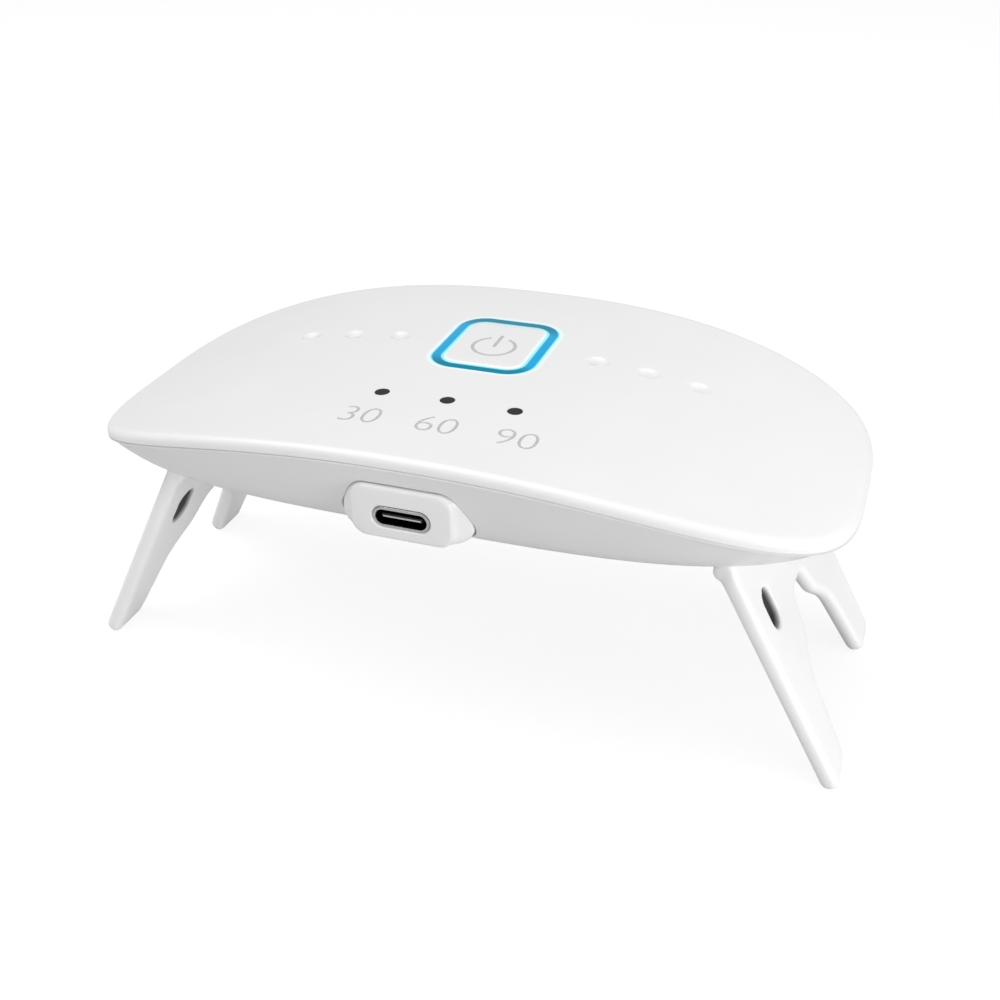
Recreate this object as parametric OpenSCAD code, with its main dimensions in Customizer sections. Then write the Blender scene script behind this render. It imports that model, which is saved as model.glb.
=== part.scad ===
// Pocket nail lamp with an arched housing on two folding leg frames.
// The origin lies on the table under the middle of the housing.
// +X runs along the housing, +Y to its back and +Z up. The socket faces -Y.

/* [Housing] */
// Length from foot to foot with the legs open
overall_l = 135; // [132:0.5:140]
// Length of the housing, tip to tip
housing_l = 129; // [126:0.5:132]
// Depth of the housing, front to back
housing_d = 70; // [68:0.5:74]
// Height of the crown above the table
crown_h = 54; // [53:0.25:56]
// Drop of the arched rim from the middle to each tip
arch_drop = 11.4; // [10.5:0.1:12]
// Sharpness of the arch: 2 is a parabola
arch_exp = 2.3; // [2.1:0.1:2.7]
// Squareness of the plan: 2 is an ellipse
plan_exp = 3.4; // [2.9:0.1:3.7]
// Rise of the cover from its edge to its middle line
cross_rise = 0.3; // [0.2:0.05:0.6]
// Radius of the cover's edge
edge_r = 1.2; // [1:0.05:1.3]
// Height of the straight lip under that edge
lip_h = 0.6; // [0.5:0.05:0.8]
// Thickness of the cover
cover_t = 1.6; // [1.3:0.05:1.7]
// Height of the housing, from its flat underside to the crown
housing_h = 15.2; // [15:0.05:15.3]
// Thickness of the base's floor
floor_t = 1.6; // [1.2:0.1:1.8]
// Width of the base's side wall at the seam
wall_t = 1.8; // [1.5:0.1:2.2]
// Solid length left at each tip of the base
tip_l = 5; // [4.5:0.25:8]
// How far the base draws in below the seam
tuck = 6.3; // [5.8:0.1:7]
// Fullness of the base's side: 0 is a quarter ellipse, 90 is a parabola
side_turn = 60; // [40:5:70]
// Width of the groove along the seam
seam_w = 0.35; // [0.2:0.05:0.5]

/* [Button and lamps] */
// Distance of the button behind the middle line
button_y = 6.5; // [5:0.5:8.5]
// Width of the light ring
ring_w = 18; // [16:0.5:20]
// Depth of the light ring
ring_d = 20; // [18:0.5:21]
// Corner radius of the light ring
ring_r = 5; // [4:0.25:6]
// Width of the lit band
band_w = 2; // [1.6:0.1:2.4]
// Width of the flange that holds the light ring under the cover
ring_flange = 1.2; // [0.8:0.1:1.6]
// Gap round the button cap
cap_gap = 0.25; // [0.15:0.05:0.35]
// Travel of the button
press_travel = 0.4; // [0.25:0.05:0.45]
// Diameter of a timer lens
lens_d = 2.4; // [2:0.1:3]
// Distance between timer lenses
lens_pitch = 11.2; // [9:0.1:13]
// Distance of the timer lenses in front of the middle line
lens_y = 15; // [13:0.5:17]
// Diameter of a dimple
dimple_d = 3.5; // [3:0.1:4.5]
// Depth of a dimple
dimple_h = 0.55; // [0.3:0.05:0.8]
// Distance of the first dimple from the middle of the button
dimple_x = 18.2; // [16:0.1:20]
// Distance between dimples
dimple_pitch = 8.7; // [7:0.1:9]
// Dimples on each side of the button
dimple_n = 3; // [1:1:3]

/* [Socket] */
// Width of the socket's mouth
mouth_w = 8.34; // [8:0.02:9]
// Height of the socket's mouth
mouth_h = 2.56; // [2.4:0.02:2.8]
// Wall of the metal shell
shell_t = 0.45; // [0.3:0.05:0.5]
// Length of the metal shell
shell_l = 7.35; // [6.5:0.05:8]
// Width of the collar's face
collar_w = 15.2; // [14:0.2:17]
// Height of the collar's face
collar_h = 7.8; // [7:0.1:9]
// Corner radius of the collar's face
collar_r = 2.4; // [1.5:0.1:3]
// How far the collar's sides flare towards the housing
collar_flare = 3; // [1:0.1:3.5]
// How far the collar's top flares towards the housing
collar_lift = 1.5; // [1:0.1:1.8]
// Depth of the flare
flare_t = 2.6; // [2:0.1:3]
// Depth of the whole collar
collar_t = 4.6; // [4:0.1:5]
// Distance of the collar's face behind the housing's front edge
collar_back = 0.1; // [0.05:0.05:0.6]
// Gap round the collar
collar_gap = 0.25; // [0.15:0.05:0.35]

/* [Boards] */
// Thickness of the control board
board_t = 0.8; // [0.6:0.1:1]
// Width of the control board
board_w = 50; // [48:1:54]
// Distance of the control board's rear edge inside the housing's back
board_back = 8.5; // [8:0.1:9]
// Distance of the control board's front edge behind the collar
board_front = 0.8; // [0.5:0.1:1]
// Height of the control board above the base's floor
board_lift = 4.8; // [4.6:0.05:4.9]
// Thickness of the lamp board
lamp_board_t = 1; // [0.8:0.1:1.1]
// Width of the light window
window_w = 62; // [58:1:64]
// Distance of the light window from the housing's front
window_front = 21; // [20:0.5:23]
// Distance of the light window from the housing's back
window_back = 15; // [14.9:0.1:17]
// Width of the reflector's rim on the floor
tray_rim = 2; // [1:0.1:2.2]
// Slope width of the reflector's walls
tray_slope = 2.8; // [2:0.1:4]
// Width of an emitter
emitter_w = 3.5; // [3:0.1:4]
// Diameter of an emitter's dome
dome_d = 3; // [2.4:0.1:3.2]
// Distance between emitters along the housing
emitter_pitch = 18; // [14:0.5:20]
// Distance between the two rows of emitters
row_pitch = 15; // [12:0.5:17]

/* [Leg frames] */
// Splay of an open leg from upright
splay = 28; // [24:0.5:31]
// Thickness of a leg
leg_t = 2.8; // [2.6:0.1:3]
// Offset of the blade from the hinge axis, away from the middle
leg_shift = 0.3; // [0:0.05:0.4]
// Width over both prongs of a frame
leg_w = 46.5; // [44:0.5:48]
// Distance of the frames in front of the middle line
leg_y = -1.5; // [-2:0.5:1]
// Rounding of a leg's edges
leg_edge = 1.1; // [0.8:0.05:1.25]
// Distance of the hinge axis below the underside
hinge_drop = 1.8; // [1.75:0.05:2]
// Radius of the hinge barrels
barrel_r = 1.65; // [1.5:0.05:1.7]
// Width of the hinge lug on the base
lug_w = 17.4; // [14:0.2:20]
// Radius of a hinge pin
pin_r = 0.8; // [0.6:0.05:0.9]
// Half width of the arch between the feet
arch_foot = 14.4; // [13:0.1:16]
// Half width of the arch at its shoulder
arch_shoulder = 11.2; // [10:0.1:12.5]
// Half width of the arch's neck
arch_neck = 6; // [4:0.1:7]
// Height of the shoulder along the leg
shoulder_h = 15; // [13:0.5:17]
// Height of the arch along the leg
arch_h = 25.5; // [24:0.5:27]
// Width of a slot
slot_w = 4; // [3.4:0.1:4.6]
// Length of a slot
slot_l = 7; // [5.5:0.5:8]
// Distance of a slot's middle from the frame's middle
slot_y = 15.6; // [14.5:0.1:16.5]
// Distance of a slot's middle below the hinge
slot_drop = 11.5; // [10.5:0.5:13]
// Flat left on the sole of each foot
foot_flat = 0.35; // [0.2:0.05:0.5]

/* [Fasteners] */
// Radius of a screw's shank
screw_r = 1; // [0.8:0.05:1.2]
// Radius of a screw's head
head_r = 1.9; // [1.6:0.05:2]
// Height of a screw's head
head_h = 1.1; // [0.8:0.1:1.2]
// Distance of the case screws from the middle, along the housing
case_x = 40; // [38:0.5:40.5]
// Distance between the case screws, front to back
case_pitch = 28; // [24:0.5:30]
// Distance of the board screws from the middle, along the housing
post_x = 21; // [19:0.5:22]
// Distance of the board's front screws from its front edge
post_front = 6.5; // [6.25:0.25:7.5]
// Distance of the board's rear screws from its rear edge
post_rear = 2; // [1.8:0.1:2.3]
// Distance of the lamp board's screws from the middle
ear_x = 35.3; // [34:0.1:35.5]

/* [Fits] */
// Gap between faces that sit on each other
seat_gap = 0.05; // [0.02:0.01:0.1]
// Radial clearance of a turning or sliding fit
run_gap = 0.06; // [0.03:0.01:0.1]
// Gap beside a moving part
side_gap = 0.3; // [0.2:0.05:0.4]

/* [Hidden] */
$fn = 32;

// Points round each ring of the two shells
ring_n = 72;
eps = 0.01;

// Heights of the housing
edge_h = lip_h + edge_r;
seam_z = crown_h - cross_rise - edge_h;
ceiling_lift = edge_h - cover_t;
base_z = crown_h - housing_h;
floor_z = base_z + floor_t;

// Window in the underside
window_d = housing_d - window_front - window_back;
window_y = (window_front - window_back) / 2;

// Places of the boards, stacked up from the floor
tray_rim_t = 0.9;
tray_top = floor_z + seat_gap + tray_rim_t;
tray_plate_t = 0.6;
lamp_z = tray_top + seat_gap;
board_z = floor_z + board_lift;
board_top = board_z + board_t;
collar_y = -housing_d / 2 + collar_back;
board_y = collar_y + collar_t + board_front;
board_d = housing_d / 2 - board_back - board_y;
socket_z = board_z - mouth_h / 2 - shell_t - seat_gap;
shell_front = collar_y + 0.1;

// Heights of the button's parts
ring_top = crown_h - 0.1;
ring_step = crown_h - 3.1;
ring_foot = board_top + 1.1;
cap_top = crown_h + 0.1;
cap_flange_t = 0.8;
cap_flange = 0.8;
switch_w = 6;
switch_h = 2.8;
plunger_r = 1.7;
plunger_up = 0.5;
switch_top = board_top + switch_h;

// Places of the hinge and of the feet
hinge_z = base_z - hinge_drop;
leg_core = leg_t / 2 - leg_edge;
foot_drop = hinge_z + foot_flat - leg_edge - (leg_core - leg_shift) * sin(splay);
leg_l = leg_edge + foot_drop / cos(splay);
foot_reach = (leg_l - leg_edge) * sin(splay) + (leg_core + leg_shift) * cos(splay) + leg_edge;
hinge_x = overall_l / 2 - foot_reach;
lug_r = barrel_r + 0.1;
barrel_in = 0.35;
pin_l = leg_w - 6;

// Pieces on the boards
led_h = 0.8;
chip_x = 15;
chip_y = 4;
chip_l = 5;
chip_w = 4;
chip_h = 1.5;
coil_x = 15;
coil_y = 5;
coil_r = 2.5;
coil_h = 3;
capacitor_x = 20;
capacitor_front = 14;
capacitor_rear = 5;
capacitor_pitch = 3.5;
capacitor_l = 3.2;
capacitor_w = 1.6;
capacitor_h = 1.2;

// Colours
white = [0.93, 0.93, 0.94];
shade = [0.86, 0.87, 0.88];
blue = [0.1, 0.6, 0.85];
smoke = [0.06, 0.06, 0.07];
steel = [0.72, 0.73, 0.75];
green = [0.05, 0.32, 0.18];
mirror_silver = [0.82, 0.84, 0.86];

function plan_k(t) =
    pow(pow(abs(cos(t)), plan_exp) + pow(abs(sin(t)), plan_exp), -1 / plan_exp);

// Height of the seam over a point at distance x from the middle
function rim_z(x) = seam_z - arch_drop * pow(abs(x) * 2 / housing_l, arch_exp);

// Top of the cover over a point on the middle line
function cover_z(x) = rim_z(x) + edge_h + cross_rise;

// One point of the plan at angle t, drawn in by in_x and in_y and shrunk by u
function plan_xy(t, in_x, in_y, u) =
    [u * (housing_l / 2 - in_x) * plan_k(t) * cos(t), u * (housing_d / 2 - in_y) * plan_k(t) * sin(t)];

// A ring that follows the arch, lifted above the seam
function arch_ring(in_x, in_y, lift, u = 1, rise = 0) = [
    for (i = [0 : ring_n - 1])
        let (p = plan_xy(i * 360 / ring_n, in_x, in_y, u))
        [p[0], p[1], rim_z(p[0]) + lift + rise * (1 - u * u)]
];

// A ring of the lower shell: turn runs from side_turn at the seam to 90 at height low
function tuck_ring(in_x, in_y, draw, turn, low, top_gap) = [
    for (i = [0 : ring_n - 1])
        let (t = i * 360 / ring_n,
             inset = draw * (1 - cos(turn) / cos(side_turn)),
             top = plan_xy(t, in_x, in_y, 1),
             p = plan_xy(t, in_x + inset, in_y + inset, 1),
             from = rim_z(top[0]) - top_gap)
        [p[0], p[1], from + (low - from) * (sin(turn) - sin(side_turn)) / (1 - sin(side_turn))]
];

// Turn of step i of n, from the seam to the floor
function turn(i, n) = side_turn + (90 - side_turn) * i / n;

// Closed skin over a list of rings, from one end point to the other
module skin(rings, start, finish) {
    n = len(rings[0]);
    last = len(rings) - 1;
    points = concat([start], [for (r = rings, p = r) p], [finish]);
    function id(j, i) = 1 + j * n + i % n;
    faces = concat(
        [for (i = [0 : n - 1]) [0, id(0, i + 1), id(0, i)]],
        [for (j = [0 : last - 1], i = [0 : n - 1]) [id(j, i), id(j, i + 1), id(j + 1, i + 1)]],
        [for (j = [0 : last - 1], i = [0 : n - 1]) [id(j, i), id(j + 1, i + 1), id(j + 1, i)]],
        [for (i = [0 : n - 1]) [id(last, i), id(last, i + 1), len(points) - 1]]
    );
    polyhedron(points, faces);
}

// Rectangle with round corners, about the origin
module rounded_rect(w, d, r) {
    square([w - 2 * r, d], center = true);
    square([w, d - 2 * r], center = true);
    for (x = [-1, 1], y = [-1, 1])
        translate([x * (w / 2 - r), y * (d / 2 - r)])
            circle(r);
}

// Plate with round corners between two heights
module plate(w, d, r, low, high) {
    translate([0, 0, low])
        linear_extrude(high - low)
            rounded_rect(w, d, r);
}

// Outline of the socket's mouth, grown by g
module mouth(g) {
    w = mouth_w + 2 * g;
    h = mouth_h + 2 * g;
    square([w - h, h], center = true);
    for (x = [-1, 1])
        translate([x * (w - h) / 2, 0])
            circle(h / 2);
}

module at_mirrored_x() {
    children();
    mirror([1, 0, 0])
        children();
}

module at_case_screws() {
    for (x = [-case_x, case_x], y = [-case_pitch / 2, case_pitch / 2])
        translate([x, y, 0])
            children();
}

module at_board_screws() {
    for (x = [-post_x, post_x], y = [board_y + post_front, board_y + board_d - post_rear])
        translate([x, y, board_top])
            children();
}

module at_ear_screws() {
    for (x = [-ear_x, ear_x])
        translate([x, window_y, lamp_z + lamp_board_t])
            children();
}

module at_lens(i) {
    translate([(i - 2) * lens_pitch, -lens_y, 0])
        children();
}

module at_emitters() {
    for (i = [-1 : 1], j = [-0.5, 0.5])
        translate([i * emitter_pitch, window_y + j * row_pitch, 0])
            children();
}

// Cover with its edge radius, hollowed to an even thickness
module cover_skin() {
    top = [for (u = [0.2, 0.4, 0.6, 0.8, 0.92]) arch_ring(edge_r, edge_r, edge_h, u, cross_rise)];
    edge = [for (a = [90 : -22.5 : 0])
        arch_ring(edge_r * (1 - cos(a)), edge_r * (1 - cos(a)), lip_h + edge_r * sin(a))];
    lip = [arch_ring(0, 0, 0), arch_ring(tip_l, wall_t, 0)];
    ceiling = [for (u = [1, 0.8, 0.5, 0.2]) arch_ring(tip_l, wall_t, ceiling_lift, u, cross_rise)];
    skin(concat(top, edge, lip, ceiling),
        [0, 0, seam_z + edge_h + cross_rise], [0, 0, seam_z + ceiling_lift + cross_rise]);
}

boss_r = 2.7;
boss_low = base_z + 4.6;
pilot_gap = 0.02;

module top_cover() {
    color(white)
    difference() {
        union() {
            cover_skin();
            at_case_screws()
                translate([0, 0, boss_low])
                    cylinder(h = rim_z(case_x) + ceiling_lift + cover_t / 2 - boss_low, r = boss_r);
        }
        translate([0, button_y, 0])
            plate(ring_w + 2 * seat_gap, ring_d + 2 * seat_gap, ring_r, crown_h - 8, crown_h + 1);
        for (i = [1 : 3])
            at_lens(i)
                translate([0, 0, crown_h - 8])
                    cylinder(h = 10, d = lens_d + 2 * seat_gap);
        dimple_ball = (pow(dimple_d / 2, 2) + pow(dimple_h, 2)) / (2 * dimple_h);
        at_mirrored_x()
            for (i = [0 : dimple_n - 1])
                translate([dimple_x + i * dimple_pitch, button_y,
                        cover_z(dimple_x + i * dimple_pitch) - dimple_h + dimple_ball])
                    sphere(dimple_ball);
        at_case_screws()
            translate([0, 0, boss_low - 1])
                cylinder(h = rim_z(case_x) + ceiling_lift - boss_low + 0.4, r = screw_r + pilot_gap);
    }
}

// Lower shell with its hollow, from the floor up to the seam and down outside
module base_skin() {
    hollow = [for (i = [4 : -1 : 0])
        tuck_ring(tip_l, wall_t, tuck, turn(i, 4), floor_z, seat_gap)];
    seam = [arch_ring(seam_w, seam_w, -seat_gap)];
    outside = [for (i = [0 : 5])
        tuck_ring(0, 0, tuck, turn(i, 5), base_z, seat_gap + (i == 0 ? seam_w : 0))];
    skin(concat(hollow, seam, outside), [0, 0, floor_z], [0, 0, base_z]);
}

// Slice of the collar from depth y behind its face, t thick, with its part of the flare
module collar_slice(y, t, flare, lift, g) {
    translate([0, collar_y + y + t, socket_z + lift / 2])
        rotate([90, 0, 0])
            linear_extrude(t)
                rounded_rect(collar_w + 2 * (flare + g), collar_h + lift + 2 * g, collar_r + g);
}

// Collar, grown by g on every side and lengthened by back
module collar_solid(g, back) {
    hull() {
        collar_slice(-g, eps, 0, 0, g);
        collar_slice(flare_t, eps, collar_flare, collar_lift, g);
    }
    collar_slice(flare_t, collar_t - flare_t + back, collar_flare, collar_lift, g);
}

module base_shell() {
    color(shade)
    difference() {
        union() {
            base_skin();
            at_case_screws()
                translate([0, 0, base_z + eps])
                    cylinder(h = boss_low - seat_gap - base_z - eps, r = boss_r + 0.3);
            at_board_screws()
                translate([0, 0, floor_z - board_top - eps])
                    cylinder(h = board_lift - seat_gap + eps, r = 2.1);
            at_ear_screws()
                translate([0, 0, floor_z - lamp_z - lamp_board_t - eps])
                    cylinder(h = lamp_z - floor_z - seat_gap + eps, r = 2.1);
            at_mirrored_x()
                hinge_lug();
        }
        translate([0, window_y, 0])
            plate(window_w, window_d, 4, base_z - 1, floor_z + eps);
        collar_solid(collar_gap, side_gap);
        translate([0, shell_front + shell_l + side_gap, socket_z])
            rotate([90, 0, 0])
                linear_extrude(shell_l)
                    mouth(shell_t + side_gap);
        at_case_screws() {
            translate([0, 0, base_z - 1])
                cylinder(h = head_h + 1.6, r = head_r + 0.2);
            translate([0, 0, base_z])
                cylinder(h = 6, r = screw_r + 0.2);
        }
        at_board_screws()
            translate([0, 0, -board_t - board_lift + 0.3])
                cylinder(h = board_lift, r = screw_r + pilot_gap);
        at_ear_screws()
            translate([0, 0, -lamp_board_t - lamp_z + floor_z - 0.9])
                cylinder(h = 3, r = screw_r + pilot_gap);
        at_mirrored_x()
            hinge_bore(pin_r + pilot_gap, lug_w + 2);
    }
}

module hinge_bore(r, l) {
    translate([hinge_x, leg_y, hinge_z])
        rotate([90, 0, 0])
            cylinder(h = l, r = r, center = true);
}

module hinge_lug() {
    hinge_bore(lug_r, lug_w);
    translate([hinge_x - lug_r, leg_y - lug_w / 2, hinge_z])
        cube([2 * lug_r, lug_w, base_z - hinge_z + 0.8]);
}

// Light guide: band at the top, flange under the cover, skirt down to the lamps
module light_ring() {
    skirt = 2 * (band_w - 1);
    color(blue)
    translate([0, button_y, 0])
        difference() {
            union() {
                plate(ring_w, ring_d, ring_r, ring_foot, ring_top);
                plate(ring_w + 2 * ring_flange, ring_d + 2 * ring_flange, ring_r + ring_flange,
                    ring_step, crown_h - cover_t - 0.3);
            }
            plate(ring_w - 2 * band_w, ring_d - 2 * band_w, ring_r - band_w, ring_step - 1, crown_h + 1);
            plate(ring_w - skirt, ring_d - skirt, ring_r - skirt / 2, ring_foot - 1, ring_step);
        }
}

// Cap with a shallow dome, the flange that keeps it in and the stem on the plunger
module button_cap() {
    w = ring_w - 2 * band_w - 2 * cap_gap;
    d = ring_d - 2 * band_w - 2 * cap_gap;
    r = ring_r - band_w - cap_gap;
    flange_top = ring_step - seat_gap;
    color(white)
    translate([0, button_y, 0]) {
        plate(w, d, r, flange_top - eps, cap_top - 0.3);
        hull() {
            plate(w, d, r, cap_top - 0.3 - eps, cap_top - 0.3);
            plate(w - 1.4, d - 1.4, r - 0.7, cap_top - eps, cap_top);
        }
        plate(w + 2 * cap_flange - 0.1, d + 2 * cap_flange - 0.1, r + cap_flange,
            flange_top - cap_flange_t, flange_top);
        translate([0, 0, switch_top + plunger_up + seat_gap])
            cylinder(h = flange_top - switch_top - plunger_up - seat_gap - eps, r = plunger_r);
    }
}

module tact_switch() {
    color(smoke)
    translate([0, button_y, 0])
        difference() {
            translate([-switch_w / 2, -switch_w / 2, board_top + seat_gap])
                cube([switch_w, switch_w, switch_h - seat_gap]);
            translate([0, 0, board_top + 1.2])
                cylinder(h = switch_h, r = plunger_r + run_gap);
        }
}

module switch_plunger() {
    foot = board_top + 1.2 + press_travel + 0.15;
    color(shade)
    translate([0, button_y, foot])
        cylinder(h = switch_top + plunger_up - foot, r = plunger_r);
}

module timer_lens(i) {
    x = (i - 2) * lens_pitch;
    low = board_top + led_h + 0.4;
    color(smoke)
    at_lens(i) {
        translate([0, 0, low])
            cylinder(h = cover_z(x) - cross_rise / 3 - low, d = lens_d);
        translate([0, 0, cover_z(x) - cover_t - cross_rise - 0.9])
            cylinder(h = 0.8, d = lens_d + 1.4);
    }
}

module port_surround() {
    color(white)
    difference() {
        collar_solid(0, 0);
        translate([0, 0, socket_z])
            rotate([90, 0, 0])
                linear_extrude(housing_d)
                    mouth(shell_t + seat_gap);
    }
}

module usb_shell() {
    color(steel)
    translate([0, shell_front + shell_l, socket_z])
        rotate([90, 0, 0])
            difference() {
                linear_extrude(shell_l)
                    mouth(shell_t);
                translate([0, 0, 0.8])
                    linear_extrude(shell_l)
                        mouth(0);
            }
}

module usb_tongue() {
    tongue_w = mouth_w - 1.7;
    color(smoke)
    translate([-tongue_w / 2, shell_front + 1, socket_z - 0.35])
        cube([tongue_w, shell_l - 1.8 - seat_gap, 0.7]);
}

module control_board() {
    color(green)
    difference() {
        translate([-board_w / 2, board_y, board_z])
            cube([board_w, board_d, board_t]);
        at_board_screws()
            translate([0, 0, -board_t - 1])
                cylinder(h = board_t + 2, r = screw_r + 0.2);
    }
}

// Block on top of the control board, by its middle
module on_board(x, y, size) {
    translate([x - size[0] / 2, y - size[1] / 2, board_top + seat_gap])
        cube(size);
}

module driver_chip() {
    color(smoke)
    on_board(-chip_x, -chip_y, [chip_l, chip_w, chip_h]);
}

module inductor() {
    color(smoke)
    translate([coil_x, -coil_y, board_top + seat_gap])
        cylinder(h = coil_h, r = coil_r);
}

module capacitors() {
    color([0.6, 0.5, 0.35])
    for (y = [-capacitor_front, capacitor_rear - capacitor_pitch], i = [0, 1])
        on_board(-capacitor_x, y + i * capacitor_pitch, [capacitor_l, capacitor_w, capacitor_h]);
}

// Lamps under the middle of each side of the light ring
module ring_leds() {
    side = (ring_w - band_w) / 2;
    front = (ring_d - band_w) / 2;
    color("ivory")
    for (p = [[-side, 0], [side, 0], [0, -front], [0, front]])
        on_board(p[0], button_y + p[1], [2.8, 2.8, led_h]);
}

module timer_leds() {
    color("ivory")
    for (i = [1 : 3])
        on_board((i - 2) * lens_pitch, -lens_y, [1.6, 0.8, led_h]);
}

module board_link() {
    low = lamp_z + lamp_board_t + seat_gap;
    color(smoke)
    translate([-3.8, window_y - window_d / 2 + 3, low])
        cube([7.6, 2.5, board_z - seat_gap - low]);
}

module led_board() {
    board = [window_w, window_d - 4];
    color(white)
    difference() {
        translate([0, window_y, lamp_z])
            linear_extrude(lamp_board_t) {
                square(board, center = true);
                square([2 * ear_x + 5, 9], center = true);
            }
        at_ear_screws()
            translate([0, 0, -lamp_board_t - 1])
                cylinder(h = lamp_board_t + 2, r = screw_r + 0.2);
    }
}

emitter_h = 0.65;

module uv_leds() {
    color("ivory")
    at_emitters()
        translate([-emitter_w / 2, -emitter_w / 2, lamp_z - seat_gap - emitter_h])
            cube([emitter_w, emitter_w, emitter_h]);
}

module uv_domes() {
    color([0.85, 0.8, 0.95])
    at_emitters()
        intersection() {
            translate([0, 0, lamp_z - 2 * seat_gap - emitter_h])
                sphere(dome_d / 2);
            translate([-dome_d, -dome_d, lamp_z - 2 * seat_gap - emitter_h - dome_d])
                cube([2 * dome_d, 2 * dome_d, dome_d]);
        }
}

// Bright dish that hangs in the window from its rim, with a hole for each emitter
module reflector_tray() {
    w = window_w - 2 * 0.15;
    d = window_d - 2 * 0.15;
    low = base_z + 0.2;
    dish_top = tray_top - tray_plate_t;
    color(mirror_silver)
    difference() {
        translate([0, window_y, 0]) {
            plate(w, d, 3.85, low, tray_top);
            plate(w + 2 * tray_rim, d + 2 * tray_rim, 3.85 + tray_rim, floor_z + seat_gap, tray_top);
        }
        translate([0, window_y, 0])
            hull() {
                plate(w - 0.8, d - 0.8, 3.4, low - 1, low + eps);
                plate(w - 2 * tray_slope, d - 2 * tray_slope, 2.4, dish_top - eps, dish_top);
            }
        at_emitters()
            translate([0, 0, low])
                cylinder(h = tray_top - low + 1, r = emitter_w * 0.72);
    }
}

// Pan-head screw with its head's underside at the origin, pointing down
module screw(l) {
    cylinder(h = head_h, r = head_r);
    translate([0, 0, -l])
        cylinder(h = l + eps, r = screw_r);
}

module board_screws() {
    color(steel) {
        at_board_screws()
            translate([0, 0, seat_gap])
                screw(board_lift + board_t - 0.8);
        at_ear_screws()
            translate([0, 0, seat_gap])
                screw(lamp_board_t + lamp_z - floor_z + 0.5);
    }
}

module case_screws() {
    head_z = base_z + head_h + 0.6 - seat_gap;
    tip = rim_z(case_x) + ceiling_lift - 0.8;
    color(steel)
    at_case_screws()
        translate([0, 0, head_z])
            rotate([180, 0, 0])
                screw(tip - head_z);
}

// Corners of half a leg frame with their fillet radii, counter-clockwise from the arch's top.
// x runs along the hinge and y up the leg, with the hinge axis at y = 0.
leg_half = [
    [arch_neck * 0.6, arch_h - leg_l, 2.2], [arch_neck, shoulder_h + 4.5 - leg_l, 3],
    [arch_shoulder, shoulder_h - leg_l, 6], [arch_foot, -leg_l, 2.8],
    [leg_w / 2, -leg_l, leg_edge + 0.6], [leg_w / 2, 0, leg_edge + 0.4]
];
leg_corners = concat(
    leg_half,
    [for (i = [len(leg_half) - 1 : -1 : 0]) [-leg_half[i][0], leg_half[i][1], leg_half[i][2]]]
);

// Points of the fillet at corner b between a and c, all drawn inwards by d
function fillet(a, b, c, r, d) =
    let (u = [a[0] - b[0], a[1] - b[1]] / norm([a[0] - b[0], a[1] - b[1]]),
         v = [c[0] - b[0], c[1] - b[1]] / norm([c[0] - b[0], c[1] - b[1]]),
         half = acos(u * v) / 2,
         middle = [b[0], b[1]] + (u + v) / norm(u + v) * r / sin(half),
         from = ([b[0], b[1]] + u * r / tan(half) - middle) / r,
         to = ([b[0], b[1]] + v * r / tan(half) - middle) / r,
         span = 180 - 2 * half,
         outward = v[0] * u[1] - v[1] * u[0] > 0 ? -1 : 1)
    [for (k = [0 : 4])
        middle + (r + outward * d) * (sin((1 - k / 4) * span) * from + sin(k / 4 * span) * to) / sin(span)];

// Outline of a leg frame, drawn inwards by d, at height z
function leg_ring(d, z) = [
    for (i = [0 : len(leg_corners) - 1])
        let (n = len(leg_corners), b = leg_corners[i])
        for (p = fillet(leg_corners[(i + n - 1) % n], b, leg_corners[(i + 1) % n], b[2], d))
            [p[0], p[1], z]
];

// Leg frame in its own plane, with every edge rounded
module leg_blade() {
    angles = [90, 60, 30, 0];
    rings = concat(
        [for (a = angles) leg_ring(leg_edge * (1 - cos(a)), leg_shift - leg_core - leg_edge * sin(a))],
        [for (i = [3 : -1 : 0])
            let (a = angles[i])
            leg_ring(leg_edge * (1 - cos(a)), leg_shift + leg_core + leg_edge * sin(a))]
    );
    n = len(rings[0]);
    last = (len(rings) - 1) * n;
    // Each end is two prongs, fanned out from their top corners, and the web between them
    prong = [for (i = [0 : n / 2 - 1]) (i + n / 2 - 1) % (n / 2)];
    web = [n / 2 - 1, n / 2, n - 1, 0];
    back = [prong, [for (i = [0 : n / 2 - 1]) n / 2 + i], web];
    function reversed(face) = [for (i = [len(face) - 1 : -1 : 0]) last + face[(i + 1) % len(face)]];
    polyhedron(
        [for (r = rings, p = r) p],
        concat(
            back,
            [for (j = [0 : n : last - n], i = [0 : n - 1]) [j + i, j + n + i, j + n + (i + 1) % n]],
            [for (j = [0 : n : last - n], i = [0 : n - 1]) [j + i, j + n + (i + 1) % n, j + (i + 1) % n]],
            [for (face = back) reversed(face)]
        )
    );
}

// Cutters for the notch round the hinge lug and for both slots, in the same plane
module leg_cutters() {
    translate([-lug_w / 2 - side_gap, -lug_r - 0.9, -leg_t])
        cube([lug_w + 2 * side_gap, 4 * lug_r, 3 * leg_t]);
    translate([0, 0, -leg_t])
        linear_extrude(3 * leg_t)
            for (s = [-1, 1])
                translate([s * slot_y, -slot_drop]) {
                    square([slot_w, slot_l - slot_w], center = true);
                    for (y = [-1, 1])
                        translate([0, y * (slot_l - slot_w) / 2])
                            circle(slot_w / 2);
                }
}

module in_leg_plane() {
    translate([hinge_x, leg_y, hinge_z])
        rotate([0, -splay, 0])
            rotate([90, 0, 90])
                children();
}

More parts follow.
